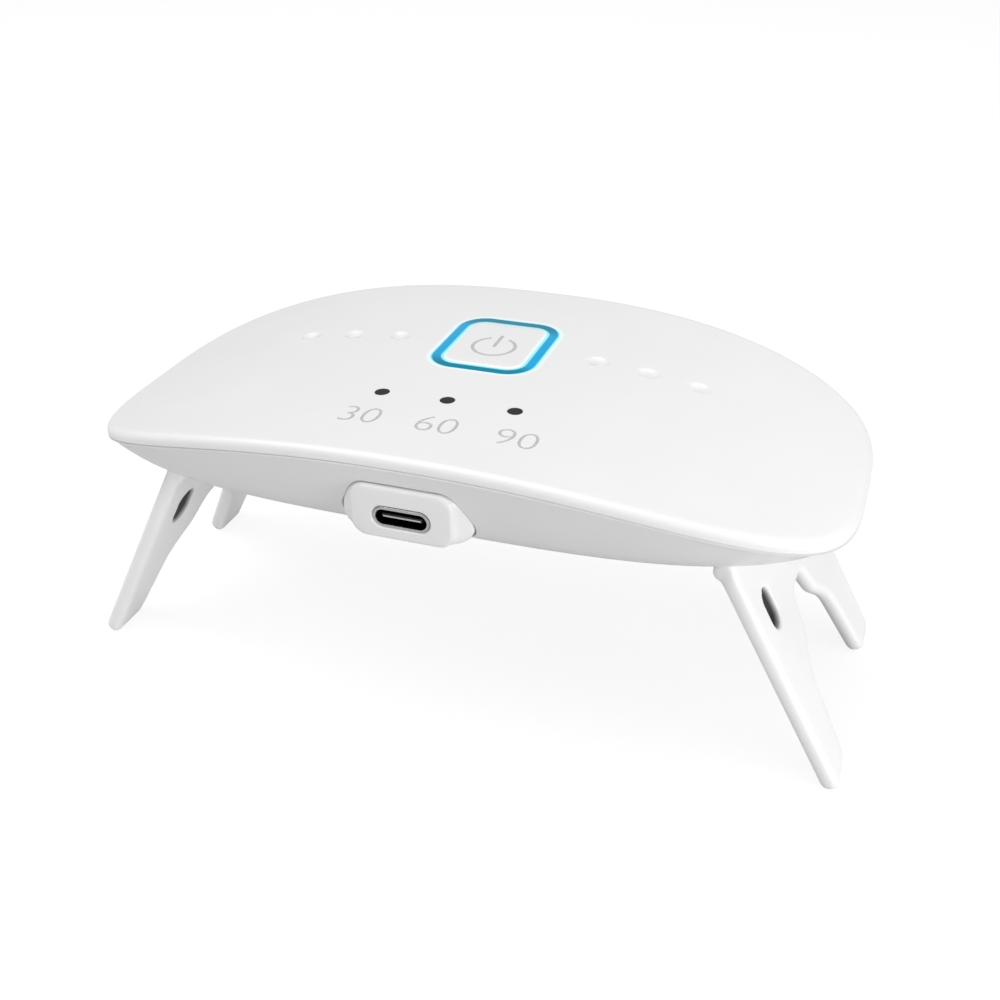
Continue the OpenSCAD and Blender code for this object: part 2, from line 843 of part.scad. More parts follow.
// Heel that meets the underside when the leg is open, in the upright plane
module heel() {
    top = base_z - seat_gap - hinge_z;
    low = 4.6;
    outer = low * tan(splay) + (leg_t / 2 + leg_shift) / cos(splay) - 0.1;
    polygon([
        [0, 0], [0.6, top], [outer - 0.9, top], [outer - 0.3, top - 0.6],
        [outer, -low], [outer - leg_t / 2, -low]
    ]);
}

// A length along the hinge on each half of the frame, drawn in at both ends
module along_barrels(draw) {
    from = lug_w / 2 + side_gap + draw;
    l = leg_w / 2 - draw - from;
    for (s = [-1, 1])
        translate([hinge_x, leg_y + s * (from + l / 2), hinge_z])
            rotate([90, 0, 0])
                linear_extrude(l, center = true)
                    children();
}

// The right frame's place, or the left one's by half a turn, as a frame is the same either way
module at_side(side) {
    translate([0, (1 - side) * leg_y, 0])
        rotate([0, 0, 90 * (1 - side)])
            children();
}

module leg_frame(side) {
    color(white)
    difference() {
        at_side(side) {
            in_leg_plane()
                leg_blade();
            along_barrels(barrel_in)
                circle(barrel_r);
            along_barrels(leg_edge + barrel_in)
                heel();
        }
        at_side(side)
            in_leg_plane()
                leg_cutters();
        at_side(side)
            hinge_bore(pin_r + run_gap, pin_l + 2 * side_gap);
        translate([-overall_l, leg_y - leg_w, -10])
            cube([2 * overall_l, 2 * leg_w, 10]);
    }
}

module left_leg() {
    leg_frame(-1);
}

module right_leg() {
    leg_frame(1);
}

module left_hinge_pin() {
    color(steel)
    mirror([1, 0, 0])
        hinge_bore(pin_r, pin_l);
}

module right_hinge_pin() {
    color(steel)
    hinge_bore(pin_r, pin_l);
}

top_cover();
base_shell();
light_ring();
button_cap();
switch_plunger();
tact_switch();
timer_lens(1);  // timer_lens_1
timer_lens(2);  // timer_lens_2
timer_lens(3);  // timer_lens_3
port_surround();
usb_shell();
usb_tongue();
control_board();
driver_chip();
inductor();
capacitors();
ring_leds();
timer_leds();
board_link();
led_board();
uv_leds();
uv_domes();
reflector_tray();
board_screws();
case_screws();
left_leg();
right_leg();
left_hinge_pin();
right_hinge_pin();
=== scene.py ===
# %% [markdown]
# # Dressing a pocket nail lamp
# The lamp is a small arched housing of two glossy plastic mouldings on two folding leg frames. The
# frame comes first: the imported CAD model. Blender only adds looks to it, and hangs each piece that
# it builds on an empty named for its body. A part is either a CAD part with a finish, or a smoother
# piece that stands for it.

# %% Load the frame
from math import atan2, copysign, cos, pi, radians, sin

import bmesh
import bpy
from mathutils import Matrix, Vector


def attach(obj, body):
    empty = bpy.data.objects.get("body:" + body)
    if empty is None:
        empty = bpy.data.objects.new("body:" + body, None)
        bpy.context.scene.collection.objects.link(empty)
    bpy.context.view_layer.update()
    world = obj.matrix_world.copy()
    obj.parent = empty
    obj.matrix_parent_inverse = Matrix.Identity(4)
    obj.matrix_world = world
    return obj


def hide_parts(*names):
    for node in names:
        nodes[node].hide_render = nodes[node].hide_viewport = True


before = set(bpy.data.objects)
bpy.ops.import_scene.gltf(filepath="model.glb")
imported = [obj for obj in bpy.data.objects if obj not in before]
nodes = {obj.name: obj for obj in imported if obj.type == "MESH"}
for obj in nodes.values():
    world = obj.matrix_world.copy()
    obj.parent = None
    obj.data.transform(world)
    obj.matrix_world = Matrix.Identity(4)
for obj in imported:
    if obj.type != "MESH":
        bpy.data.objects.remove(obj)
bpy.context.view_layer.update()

MM = 0.001

# %% [markdown]
# ## The camera
# The photograph was taken from the right front and from above, so close that the near leg looks
# much larger than the far one. The camera therefore stands only 22 cm away, with a wide lens.

# %% Camera
AZIMUTH, ELEVATION, ROLL = radians(20.084), radians(30.643), radians(-0.955)
DISTANCE = 221.85 * MM
TARGET = Vector((3.015, 0, 27.837)) * MM
FOCAL_SHARE = 1.25725  # focal length as a share of the picture's width

back = Vector((sin(AZIMUTH) * cos(ELEVATION), -cos(AZIMUTH) * cos(ELEVATION), sin(ELEVATION)))
level = (-back).cross(Vector((0, 0, 1))).normalized()
upright = level.cross(-back)
right = cos(ROLL) * level + sin(ROLL) * upright
up = cos(ROLL) * upright - sin(ROLL) * level

lens = bpy.data.cameras.new("camera")
lens.sensor_width = 36
lens.lens = FOCAL_SHARE * lens.sensor_width
camera = bpy.data.objects.new("camera", lens)
bpy.context.collection.objects.link(camera)
turned = Matrix((right, up, back)).transposed().to_4x4()
camera.matrix_world = Matrix.Translation(TARGET + back * DISTANCE) @ turned
bpy.context.scene.camera = camera
bpy.context.scene.view_settings.view_transform = "Standard"
print("camera", round(DISTANCE / MM), "mm from the lamp, lens", round(lens.lens, 1), "mm")

# %% [markdown]
# ## Materials
# Every finish starts from a Principled shader. Colours are written as sRGB hex values, the way a
# colour picker shows them, and one function turns them to the linear values that Blender computes
# with. One more function adds a node, so that a material reads as a short list, and four short ones
# stand for the nodes that are used most. Patterns are laid out in the part's own axes.


# %% Colour and node helpers
def linear(hex_colour):
    def channel(start):
        c = int(hex_colour[start : start + 2], 16) / 255
        return c / 12.92 if c <= 0.04045 else ((c + 0.055) / 1.055) ** 2.4

    return (channel(1), channel(3), channel(5), 1)


def add(tree, kind, inputs=(), **settings):
    node = tree.nodes.new(kind)
    for name, value in settings.items():
        setattr(node, name, value)
    for name, value in dict(inputs).items():
        if isinstance(value, bpy.types.NodeSocket):
            tree.links.new(value, node.inputs[name])
        else:
            node.inputs[name].default_value = value
    return node


def ramp(tree, value, start, end, low=0.0, high=1.0, kind="LINEAR"):
    """A number that goes from low to high while value goes from start to end."""
    sockets = {"Value": value, "From Min": start, "From Max": end, "To Min": low, "To Max": high}
    return add(tree, "ShaderNodeMapRange", sockets, interpolation_type=kind).outputs["Result"]


def blend(tree, factor, first, second):
    """The first colour where factor is 0, and the second where it is 1."""
    sockets = {"Factor": factor, "A": first, "B": second}
    return add(tree, "ShaderNodeMix", sockets, data_type="RGBA").outputs["Result"]


def number_math(tree, operation, *values):
    return add(tree, "ShaderNodeMath", enumerate(values), operation=operation).outputs[0]


def vector_math(tree, operation, *values):
    node = add(tree, "ShaderNodeVectorMath", enumerate(values), operation=operation)
    return node.outputs["Value" if operation in ("LENGTH", "DOT_PRODUCT") else "Vector"]


def new_material(name):
    material = bpy.data.materials.new(name)
    material.use_nodes = True
    tree = material.node_tree
    return material, tree, tree.nodes["Principled BSDF"]


def object_place(tree):
    """The position in the object's own axes, which here are the part's axes, in metres."""
    return add(tree, "ShaderNodeTexCoord").outputs["Object"]


print("a mid grey of #808080 is", round(linear("#808080")[0], 3), "in linear light")


# %% [markdown]
# Moulded ABS is the lamp's main plastic. It leaves a polished steel mould, so it shines, but close
# up its gloss is a little uneven and its colour drifts by a shade where the melt cooled slowly. Two
# soft noises give that: one of about 12 mm for the colour and one of about 0.7 mm for the gloss and
# a faint orange peel. The real peel is finer, and is drawn as coarse as it needs to show.


# %% Moulded plastic
DRIFT, PEEL_HEIGHT = 12 * MM, 0.05 * MM


def moulded(name, light, dark, roughness=0.28, peel=0.02, peel_mm=0.7, coat=0.0):
    material, tree, shader = new_material(name)
    place = object_place(tree)
    drift = add(tree, "ShaderNodeTexNoise", {"Vector": place, "Scale": 1 / DRIFT, "Detail": 2})
    grain_scale = 1 / (peel_mm * MM)
    grain = add(tree, "ShaderNodeTexNoise", {"Vector": place, "Scale": grain_scale, "Detail": 3})
    peel_in = {"Height": grain.outputs["Fac"], "Strength": peel, "Distance": PEEL_HEIGHT}
    bump = add(tree, "ShaderNodeBump", peel_in)
    colour = blend(tree, drift.outputs["Fac"], linear(dark), linear(light))
    gloss = ramp(tree, grain.outputs["Fac"], 0, 1, roughness - 0.05, roughness + 0.07)
    tree.links.new(colour, shader.inputs["Base Color"])
    tree.links.new(gloss, shader.inputs["Roughness"])
    tree.links.new(bump.outputs["Normal"], shader.inputs["Normal"])
    shader.inputs["IOR"].default_value = 1.53
    shader.inputs["Coat Weight"].default_value = coat
    shader.inputs["Coat Roughness"].default_value = 0.08
    return material


# The white plastic is the same throughout. The base is drawn a shade darker than the cover, as painted
# shade, and the legs a shade lighter, as painted light.
cover_abs = moulded("moulded_abs_cover", "#F4F4F4", "#F0F0F0", roughness=0.30)
base_abs = moulded("moulded_abs_base", "#E8E8E8", "#E4E4E4", roughness=0.32)
leg_abs = moulded("moulded_abs_leg", "#F8F8F8", "#F4F4F4", roughness=0.36, peel=0.04)
collar_abs = moulded("moulded_abs_collar", "#F0F0F0", "#ECECEC", roughness=0.30)
button_abs = moulded("moulded_abs_button", "#F6F6F6", "#F2F2F2", roughness=0.22, coat=0.3)
# The grey laid in the grooves of the numbers and the standby sign is painted shade.
groove_shade_grey = moulded("groove_painted_shade_grey", "#C8C8C8", "#BEBEBE", roughness=0.5)
switch_grey = moulded("moulded_nylon_grey", "#CFCFD2", "#C2C2C6", roughness=0.5, peel=0.1)
switch_black = moulded("moulded_nylon_black", "#1A1A1C", "#121214", roughness=0.5, peel=0.1)
tongue_black = moulded("moulded_lcp_black", "#0D0D0E", "#070708", roughness=0.35)
chip_black = moulded("moulded_epoxy_black", "#232326", "#18181A", roughness=0.6, peel=0.2, peel_mm=0.25)
capacitor_tan = moulded("fired_ceramic_tan", "#B39A6C", "#9A8258", roughness=0.55, peel=0.1)
led_ceramic = moulded("fired_ceramic_ivory", "#F3EFD8", "#E6E0C2", roughness=0.5, peel=0.1)
board_green = moulded("solder_mask_green", "#1D6B40", "#155233", roughness=0.35, peel=0.3, peel_mm=1.5)
board_white = moulded("solder_mask_white", "#EFEFE9", "#E2E2DA", roughness=0.4, peel=0.2, peel_mm=1.5)
print(len(bpy.data.materials), "plastics, ceramics and solder masks")

# %% [markdown]
# The lenses over the timer lamps are smoked acrylic: nearly black, polished, and clearer than
# they look. The emitters' domes are clear silicone with a violet cast from the chips below.


# %% Smoked acrylic and clear silicone
CLOUD = 1.5 * MM


def clear(name, colour, roughness, transmission, ior):
    material, tree, shader = new_material(name)
    place = object_place(tree)
    cloud = add(tree, "ShaderNodeTexNoise", {"Vector": place, "Scale": 1 / CLOUD})
    haze = ramp(tree, cloud.outputs["Fac"], 0, 1, roughness, roughness + 0.06)
    tree.links.new(haze, shader.inputs["Roughness"])
    shader.inputs["Base Color"].default_value = linear(colour)
    shader.inputs["Transmission Weight"].default_value = transmission
    shader.inputs["IOR"].default_value = ior
    return material


lens_smoke = clear("polished_acrylic_smoke", "#1B1C20", 0.08, 0.15, 1.49)
dome_clear = clear("cast_silicone_clear", "#E8E0F6", 0.05, 0.9, 1.41)
print(lens_smoke.name, "and", dome_clear.name, "are ready")

# %% [markdown]
# The metals: a nickel-plated steel socket with a rolled steel plate in its tongue, drawn and
# zinc-plated steel for pins and screws, and a thin vacuum coat of aluminium on the reflector.
# Drawing and rolling leave fine lines, so their noise is stretched along one axis. Metals keep the
# shader's default IOR.


# %% Metals
def metal(name, light, dark, roughness, lines_mm):
    material, tree, shader = new_material(name)
    place = object_place(tree)
    scale = [1 / (mm * MM) for mm in lines_mm]
    stretch = add(tree, "ShaderNodeMapping", {"Vector": place, "Scale": scale}).outputs["Vector"]
    lines = add(tree, "ShaderNodeTexNoise", {"Vector": stretch, "Scale": 1, "Detail": 3}).outputs["Fac"]
    tree.links.new(blend(tree, lines, linear(dark), linear(light)), shader.inputs["Base Color"])
    rough = ramp(tree, lines, 0, 1, roughness, roughness + 0.12)
    tree.links.new(rough, shader.inputs["Roughness"])
    shader.inputs["Metallic"].default_value = 1
    return material


mid_plate_steel = metal("rolled_steel_mid_plate", "#DEDFE1", "#B4B5B8", 0.22, (2, 0.3, 0.3))
socket_nickel = metal("plated_nickel_socket", "#D5D6D8", "#A9AAAE", 0.2, (0.4, 4, 0.4))
screw_zinc = metal("plated_zinc_screw", "#C3C5C8", "#9B9DA2", 0.3, (0.3, 0.3, 0.3))
pin_steel = metal("drawn_steel_pin", "#B9BBBF", "#93959A", 0.25, (0.2, 4, 0.2))
reflector_coat = metal("aluminium_coat_reflector", "#EDEEF1", "#D8DADF", 0.1, (4, 4, 4))
print(len(bpy.data.materials), "materials with the metals")

# %% [markdown]
# ## The housing's form
# The cover's plan is a superellipse, squarer than an ellipse, and its rim bends down towards both
# tips. Both mouldings are built alike: a circle of vertices is extruded loop by loop, and each new
# loop is placed by a formula from the angle that its vertices keep. This gives even quads that bend
# smoothly, which a sculpted or subdivided box wouldn't.

# %% Sizes of the housing, in millimetres, as the CAD has them
LENGTH, DEPTH, CROWN = 129, 70, 54
ARCH_DROP, ARCH_EXP, PLAN_EXP = 11.4, 2.3, 3.4
RISE, EDGE_R, LIP, COVER_T = 0.3, 1.2, 0.6, 1.6
WALL_T, TIP_L, SEAM_W, SEAT_GAP = 1.8, 5, 0.35, 0.05
BASE_Z, FLOOR_T, TUCK, SIDE_TURN = 38.8, 1.6, 6.3, radians(60)
SEAM_Z = CROWN - RISE - EDGE_R - LIP
BUTTON_Y, LENS_Y, LENS_PITCH, LENS_D = 6.5, 15, 11.2, 2.4
LOOP_POINTS = 192


def rim_z(x):
    return SEAM_Z - ARCH_DROP * (abs(x) * 2 / LENGTH) ** ARCH_EXP


def plan_point(angle, draw_x, draw_y, shrink=1.0):
    c, s = cos(angle), sin(angle)
    k = (abs(c) ** PLAN_EXP + abs(s) ** PLAN_EXP) ** (-1 / PLAN_EXP)
    return shrink * (LENGTH / 2 - draw_x) * k * c, shrink * (DEPTH / 2 - draw_y) * k * s


def cover_surface(x, y):
    a, b = LENGTH / 2 - EDGE_R, DEPTH / 2 - EDGE_R
    share = ((abs(x) / a) ** PLAN_EXP + (abs(y) / b) ** PLAN_EXP) ** (1 / PLAN_EXP)
    return rim_z(x) + LIP + EDGE_R + RISE * (1 - share * share)


print("the rim is", round(rim_z(0) - rim_z(LENGTH / 2), 1), "mm lower at the tips")


# %% [markdown]
# A loop is a ring of edges. Each vertex keeps its angle in a layer of its own, which the extrusion
# copies to the next loop, so a formula can place every loop anew.


# %% Loop helpers
def circle_loop(bm):
    bmesh.ops.create_circle(bm, radius=1, segments=LOOP_POINTS)
    angle = bm.verts.layers.float.new("angle")
    for v in bm.verts:
        v[angle] = atan2(v.co.y, v.co.x)
    return bm.edges[:]


def place_loop(bm, edges, place):
    angle = bm.verts.layers.float["angle"]
    for v in {v for e in edges for v in e.verts}:
        v.co = place(v[angle])
    return edges


def grown_loop(bm, edges):
    out = bmesh.ops.extrude_edge_only(bm, edges=edges)["geom"]
    verts = {g for g in out if isinstance(g, bmesh.types.BMVert)}
    return [g for g in out if isinstance(g, bmesh.types.BMEdge) and set(g.verts) <= verts]


def next_loop(bm, edges, place):
    return place_loop(bm, grown_loop(bm, edges), place)


def close_loop(bm, edges, point):
    last = grown_loop(bm, edges)
    verts = list(dict.fromkeys(v for e in last for v in e.verts))  # in the same order every time
    bmesh.ops.pointmerge(bm, verts=verts, merge_co=point)


print("each loop of the housing has", LOOP_POINTS, "points")

# %% [markdown]
# Pieces are built in millimetres, cut with exact booleans, and only then scaled to metres. Edges
# sharper than a given angle stay crisp and all others are shaded smooth.

# %% Piece helpers
CRISP = radians(35)


def solid(bm, name):
    bmesh.ops.remove_doubles(bm, verts=bm.verts, dist=1e-4)
    bmesh.ops.recalc_face_normals(bm, faces=bm.faces)
    mesh = bpy.data.meshes.new(name)
    bm.to_mesh(mesh)
    bm.free()
    obj = bpy.data.objects.new(name, mesh)
    bpy.context.collection.objects.link(obj)
    return obj


def apply_modifiers(obj):
    seen = obj.evaluated_get(bpy.context.evaluated_depsgraph_get())
    mesh = bpy.data.meshes.new_from_object(seen)
    obj.modifiers.clear()
    obj.data = mesh


def combine(obj, other, operation="DIFFERENCE"):
    cut = obj.modifiers.new(operation.lower(), "BOOLEAN")
    cut.operation = operation
    cut.solver = "EXACT"
    cut.object = other
    apply_modifiers(obj)
    bpy.data.objects.remove(other)


def dress(obj, material, body, replaces=()):
    """Give a finished piece its finish and its body, and hide the CAD parts that it stands for."""
    mesh = obj.data
    mesh.transform(Matrix.Scale(MM, 4))
    bm = bmesh.new()
    bm.from_mesh(mesh)
    for face in bm.faces:
        face.smooth = True
        face.material_index = 0
    for edge in bm.edges:
        edge.smooth = len(edge.link_faces) == 2 and edge.calc_face_angle(0) < CRISP
    bm.to_mesh(mesh)
    bm.free()
    mesh.materials.clear()
    mesh.materials.append(material)
    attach(obj, body)
    if replaces:
        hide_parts(*replaces)
    print(obj.name, len(mesh.polygons), "faces, for", replaces or "a detail")


# %% [markdown]
# ## Plates and bars
# The button, its light ring and the window are round-cornered plates. Each starts as one square face
# whose corners are bevelled, and is then extruded. Holes, stems and bores are round bars.


# %% Plate and bar helpers
def plate(bm, width, depth, radius, low, high, centre=(0, 0), segments=10):
    made = bmesh.ops.create_grid(bm, x_segments=1, y_segments=1, size=0.5)["verts"]
    bmesh.ops.scale(bm, vec=(width, depth, 1), verts=made)
    bmesh.ops.translate(bm, vec=(*centre, low), verts=made)
    bmesh.ops.bevel(
        bm, geom=made, offset=radius, segments=segments, profile=0.5, affect="VERTICES", material=-1
    )
    outline = next(f for f in bm.faces if all(e.is_boundary for e in f.edges))
    grown = bmesh.ops.extrude_face_region(bm, geom=[outline])["geom"]
    top = [g for g in grown if isinstance(g, bmesh.types.BMVert)]
    bmesh.ops.translate(bm, vec=(0, 0, high - low), verts=top)
    return [g for g in grown if isinstance(g, bmesh.types.BMFace)][0]


def round_bar(bm, radius, length, place, segments=40):
    bmesh.ops.create_cone(
        bm,
        cap_ends=True,
        segments=segments,
        radius1=radius,
        radius2=radius,
        depth=length,
        matrix=place,
    )


def soft_block(bm, size, centre, bevel, steps):
    made = bmesh.ops.create_cube(bm, size=1)["verts"]
    bmesh.ops.scale(bm, vec=size, verts=made)
    bmesh.ops.translate(bm, vec=centre, verts=made)
    bevel_edges(bm, bm.edges[:], bevel, steps)


def bevel_edges(bm, edges, width, steps):
    bmesh.ops.bevel(
        bm, geom=edges, offset=width, segments=steps, profile=0.5, affect="EDGES", material=-1
    )


# %% [markdown]
# ## The cover
# The cover is one thin moulding: a domed top, a rounded edge, a short straight lip and the hollow
# below. The loops start in the middle of the ceiling inside, run out to the rim, turn round the
# edge and come back over the top to its middle, so the shell closes without any cutting.


# %% Cover blank
def on_arch(draw_x, draw_y, lift, shrink=1.0, rise=0.0):
    def place(t):
        x, y = plan_point(t, draw_x, draw_y, shrink)
        return (x, y, rim_z(x) + lift + rise * (1 - shrink * shrink))

    return place


EDGE_TOP = LIP + EDGE_R
CEILING = EDGE_TOP - COVER_T
EDGE_STEPS, TOP_STEPS = 8, 40
bm = bmesh.new()
loop = place_loop(bm, circle_loop(bm), on_arch(TIP_L, WALL_T, CEILING, 0.04, RISE))
close_loop(bm, loop, (0, 0, SEAM_Z + CEILING + RISE))
for share in (0.2, 0.4, 0.6, 0.8, 1):
    loop = next_loop(bm, loop, on_arch(TIP_L, WALL_T, CEILING, share, RISE))
loop = next_loop(bm, loop, on_arch(TIP_L, WALL_T, 0))
loop = next_loop(bm, loop, on_arch(0, 0, 0))
for i in range(EDGE_STEPS + 1):
    turn = i * pi / 2 / EDGE_STEPS
    draw = EDGE_R * (1 - cos(turn))
    loop = next_loop(bm, loop, on_arch(draw, draw, LIP + EDGE_R * sin(turn)))
for i in range(TOP_STEPS - 1, 0, -1):
    loop = next_loop(bm, loop, on_arch(EDGE_R, EDGE_R, EDGE_TOP, i / TOP_STEPS, RISE))
close_loop(bm, loop, (0, 0, CROWN))
cover = solid(bm, "cover")
print("cover blank,", len(cover.data.polygons), "faces")

# %% [markdown]
# The cover's openings are cut afterwards, as the mould's cores leave them: the button's opening,
# three lamp holes and six shallow dimples. A dimple is the cap of a large ball, which gives the soft
# dish that the light shows on the real one. The ring's opening and the dimples are as large as the
# photograph shows them, a little more than in the CAD.

# %% Openings of the cover
RING_W, RING_D, RING_R, RING_Y = 18.6, 22, 5, 7.6
DIMPLE_D, DIMPLE_H, DIMPLE_X, DIMPLE_PITCH = 3.5, 0.55, 18.3, 8.9
DIMPLE_BALL = ((DIMPLE_D / 2) ** 2 + DIMPLE_H**2) / (2 * DIMPLE_H)

bm = bmesh.new()
plate(bm, RING_W + 2 * SEAT_GAP, RING_D + 2 * SEAT_GAP, RING_R, CROWN - 8, CROWN + 2, (0, RING_Y))
for i in (-1, 0, 1):
    round_bar(bm, LENS_D / 2 + SEAT_GAP, 10, Matrix.Translation((i * LENS_PITCH, -LENS_Y, CROWN - 2)))
for side in (-1, 1):
    for i in range(3):
        x = side * (DIMPLE_X + i * DIMPLE_PITCH)
        top = rim_z(x) + EDGE_TOP + RISE - DIMPLE_H + DIMPLE_BALL
        bmesh.ops.create_uvsphere(
            bm,
            u_segments=64,
            v_segments=40,
            radius=DIMPLE_BALL,
            matrix=Matrix.Translation((x, RING_Y, top)),
        )
combine(cover, solid(bm, "cover_cutter"))
print("cover openings cut,", len(cover.data.polygons), "faces")

# %% [markdown]
# The timer lamps carry plain numbers, the seconds that they stand for, as a shallow groove
# with a grey sheet laid in it as painted shade. A text object gives the outline. It is turned to a
# mesh, thickened, and laid on the cover's curve by moving each vertex to the surface below it.

# %% Timer numbers
MARK_H, MARK_Y = 5.3, -25.6
MARK_X = (-11.2, 1.5, 14.3)
GROOVE, FILL, LIFT_OFF = 0.22, 0.1, 0.005  # depth of the groove, how far the painted-shade sheet stays below the surface, and a hair's gap


def laid_text(name, words, x, y, height, low, high):
    curve = bpy.data.curves.new(name, "FONT")
    curve.body = words
    curve.size = height / 0.73  # the capitals' height is 0.73 of the font's size
    curve.align_x = "CENTER"
    curve.offset = -0.02 * height  # draws the strokes a little thinner
    curve.resolution_u = 4
    text = bpy.data.objects.new(name, curve)
    bpy.context.collection.objects.link(text)
    seen = text.evaluated_get(bpy.context.evaluated_depsgraph_get())
    mesh = bpy.data.meshes.new_from_object(seen)
    bpy.data.objects.remove(text)
    bm = bmesh.new()
    bm.from_mesh(mesh)
    bmesh.ops.remove_doubles(bm, verts=bm.verts, dist=1e-3)
    bmesh.ops.translate(bm, vec=(x, y, low), verts=bm.verts)
    grown = bmesh.ops.extrude_face_region(bm, geom=bm.faces[:])["geom"]
    top = {g for g in grown if isinstance(g, bmesh.types.BMVert)}
    for v in bm.verts:
        v.co.z = cover_surface(v.co.x, v.co.y) + (high if v in top else low)
    return solid(bm, name)


# Each number's groove is cut, and a grey sheet laid in it is painted shade.
for words, x in zip(("30", "60", "90"), MARK_X):
    combine(cover, laid_text("groove", words, x, MARK_Y, MARK_H, -GROOVE, 0.5))
    number = laid_text("number_" + words, words, x, MARK_Y, MARK_H, -GROOVE + LIFT_OFF, -FILL)
    dress(number, groove_shade_grey, "housing")

# %% [markdown]
# The lit ring throws a thin cyan glow on the plastic round it. A lamp this dim can't be seen doing
# that in a bright studio, yet the photograph shows it, so the plastic's own light carries it: the
# distance to the ring's outline is worked out from the position, and the glow fades within a
# millimetre. The same helper serves the cover and the button.


# %% Glow round the ring
def ring_distance(tree, edge):
    """How far a place is outside an outline that runs edge millimetres inside the ring's own."""
    half_w, half_d, radius = RING_W / 2 - edge, RING_D / 2 - edge, RING_R - edge
    centred = vector_math(tree, "SUBTRACT", object_place(tree), (0, RING_Y * MM, 0))
    folded = vector_math(tree, "ABSOLUTE", centred)
    core = ((half_w - radius) * MM, (half_d - radius) * MM, 1)
    past = vector_math(tree, "SUBTRACT", folded, core)
    reach = vector_math(tree, "LENGTH", vector_math(tree, "MAXIMUM", past, (0, 0, 0)))
    return number_math(tree, "SUBTRACT", reach, radius * MM)


def glow(material, edge, width, strength):
    """Light on a material that fades out over width, outwards or, if negative, inwards."""
    tree = material.node_tree
    shader = tree.nodes["Principled BSDF"]
    fade = ramp(tree, ring_distance(tree, edge), 0, width * MM, strength, 0, "SMOOTHERSTEP")
    shader.inputs["Emission Color"].default_value = linear("#5FE6FF")
    tree.links.new(fade, shader.inputs["Emission Strength"])


glow(cover_abs, 0, 1.1, 0.22)
dress(cover, cover_abs, "housing", ["top_cover"])

# %% [markdown]
# ## The base
# The base continues the cover's outline below a fine groove and draws in to a flat underside. Its
# side is part of an ellipse, so the loops below follow that curve. The hollow inside gives the wall
# its thickness, as the real moulding has, and the window, the collar's notch and the screws'
# recesses are cut through it.


# %% Base blank
def on_side(draw_x, draw_y, share, low, gap):
    turn = SIDE_TURN + (pi / 2 - SIDE_TURN) * share
    inset = TUCK * (1 - cos(turn) / cos(SIDE_TURN))
    down = (sin(turn) - sin(SIDE_TURN)) / (1 - sin(SIDE_TURN))

    def place(t):
        x, y = plan_point(t, draw_x + inset, draw_y + inset)
        top = rim_z(plan_point(t, draw_x, draw_y)[0]) - gap
        return (x, y, top + (low - top) * down)

    return place


def flat(outline, z):
    """A small loop near the middle of a flat face, with the given outline's form."""

    def place(t):
        x, y, _ = outline(t)
        return (x * 0.05, y * 0.05, z)

    return place


FLOOR_Z, SIDE_STEPS = BASE_Z + FLOOR_T, 16
bm = bmesh.new()
inside_floor = flat(on_side(TIP_L, WALL_T, 1, FLOOR_Z, SEAT_GAP), FLOOR_Z)
loop = place_loop(bm, circle_loop(bm), inside_floor)
close_loop(bm, loop, (0, 0, FLOOR_Z))
for i in range(SIDE_STEPS, -1, -2):
    loop = next_loop(bm, loop, on_side(TIP_L, WALL_T, i / SIDE_STEPS, FLOOR_Z, SEAT_GAP))
loop = next_loop(bm, loop, on_arch(SEAM_W, SEAM_W, -SEAT_GAP))
for i in range(SIDE_STEPS + 1):
    gap = SEAT_GAP + (SEAM_W if i == 0 else 0)
    loop = next_loop(bm, loop, on_side(0, 0, i / SIDE_STEPS, BASE_Z, gap))
loop = next_loop(bm, loop, flat(on_side(0, 0, 1, BASE_Z, SEAT_GAP), BASE_Z))
close_loop(bm, loop, (0, 0, BASE_Z))
base = solid(bm, "base")
print("base blank,", len(base.data.polygons), "faces")

# %% [markdown]
# ## The socket's collar
# A collar stands a little proud of the base's front and carries the socket. Its face is a
# round-cornered plate whose edge rolls over into sides that flare back to the housing. The same
# loops, grown by the gap, cut the notch that it sits in.

# %% Collar
COLLAR_W, COLLAR_H, COLLAR_R, FLARE, LIFT = 16.8, 9, 2.6, 2.2, 0.3
FLARE_T, COLLAR_T, COLLAR_GAP, SIDE_GAP = 2.6, 4.6, 0.25, 0.3
COLLAR_Y, COLLAR_Z, SOCKET_Z = -34.9, 44.02, 43.42
FACE_ROLL, ROLL_STEPS, FLARE_STEPS, STEEPNESS = 0.7, 6, 8, 0.75


def collar_loops(bm, grow, steps):
    made = bmesh.ops.create_grid(bm, x_segments=1, y_segments=1, size=0.5)["verts"]
    bmesh.ops.scale(bm, vec=(COLLAR_W, COLLAR_H, 1), verts=made)
    bmesh.ops.bevel(
        bm, geom=made, offset=COLLAR_R, segments=12, profile=0.5, affect="VERTICES", material=-1
    )
    home_x, home_z = (bm.verts.layers.float.new(n) for n in ("home_x", "home_z"))
    for v in bm.verts:
        v[home_x], v[home_z] = v.co.x, v.co.y
    edges = bm.edges[:]
    for step, (depth, share, roll) in enumerate(steps):
        if step:
            edges = grown_loop(bm, edges)
        wide = 1 + 2 * (FLARE * share - roll + grow) / COLLAR_W
        high = 1 + (LIFT * share + 2 * (grow - roll)) / COLLAR_H
        for v in {v for e in edges for v in e.verts}:
            z = COLLAR_Z + v[home_z] * high + LIFT / 2 * share
            v.co = (v[home_x] * wide, COLLAR_Y + depth, z)
    bmesh.ops.contextual_create(bm, geom=edges)


